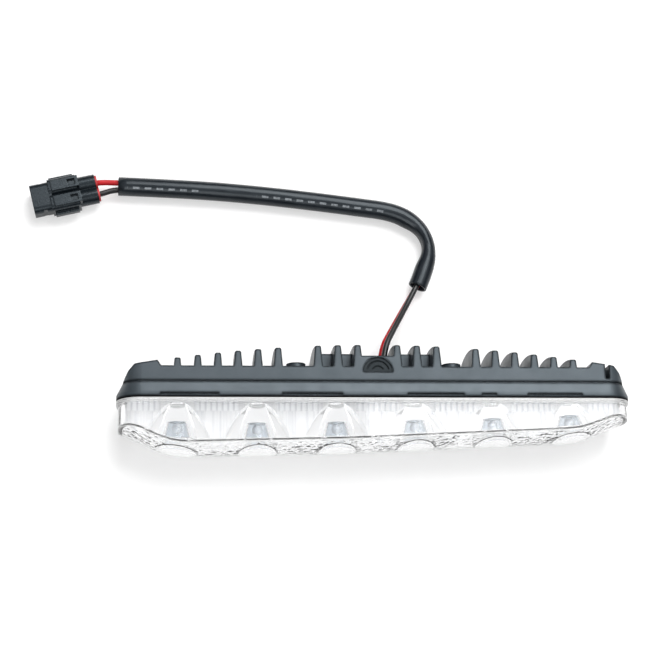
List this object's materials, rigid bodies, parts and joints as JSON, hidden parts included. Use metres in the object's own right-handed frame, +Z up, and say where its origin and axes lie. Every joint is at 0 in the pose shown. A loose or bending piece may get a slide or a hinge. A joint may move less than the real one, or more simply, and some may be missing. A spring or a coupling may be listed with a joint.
{
  "type": "daytime running light",
  "caption": "Low rounded daytime running lamp: black finned metal housing, swept clear cover over bell-shaped optics, and a short sleeved lead with a sealed plug.",
  "frame": {"origin": "middle of the lamp's bounding box in X and Y, at the bottom of its rim, measured without the lead and its plug", "axes": "+X along the lamp towards its shallow end, -Y out of the clear cover, +Y out of the fins, +Z up as mounted"},
  "size_m": [0.2191, 0.1087, 0.024],
  "materials": {
    "housing": "black satin powder coat on cast aluminium",
    "clear_cover": "clear polycarbonate",
    "seal": "black sealant",
    "gasket": "black foam rubber ring",
    "reflector": "bright metallised plastic",
    "clear_optic": "clear acrylic",
    "light": "phosphor under a clear dome",
    "board": "white solder mask",
    "pad": "soft grey pad",
    "screw": "zinc plated",
    "board_part": "black moulded",
    "can": "bare can",
    "grommet": "black rubber",
    "red_wire": "red wire insulation",
    "black_wire": "black wire insulation",
    "sleeve": "thin glossy sleeve",
    "connector": "black nylon",
    "wire_seal": "red silicone",
    "terminal": "plain"
  },
  "bodies": {
    "root": {"housing": "housing", "lens_cover": "clear_cover", "lens_seal": "seal", "rim_gasket": "gasket", "reflector": "reflector", "collimator_1": "clear_optic", "collimator_2": "clear_optic", "collimator_3": "clear_optic", "collimator_4": "clear_optic", "collimator_5": "clear_optic", "collimator_6": "clear_optic", "led_1": "light", "led_2": "light", "led_3": "light", "led_4": "light", "led_5": "light", "led_6": "light", "led_board": "board", "thermal_pad": "pad", "board_screws": "screw", "driver_chip": "board_part", "protection_diode": "board_part", "resistors": "board_part", "capacitor": "can", "cable_grommet": "grommet", "red_wire": "red_wire", "black_wire": "black_wire", "cable_sleeve": "sleeve", "connector_housing": "connector", "wire_seals": "wire_seal", "terminals": "terminal"}
  },
  "joints": []
}
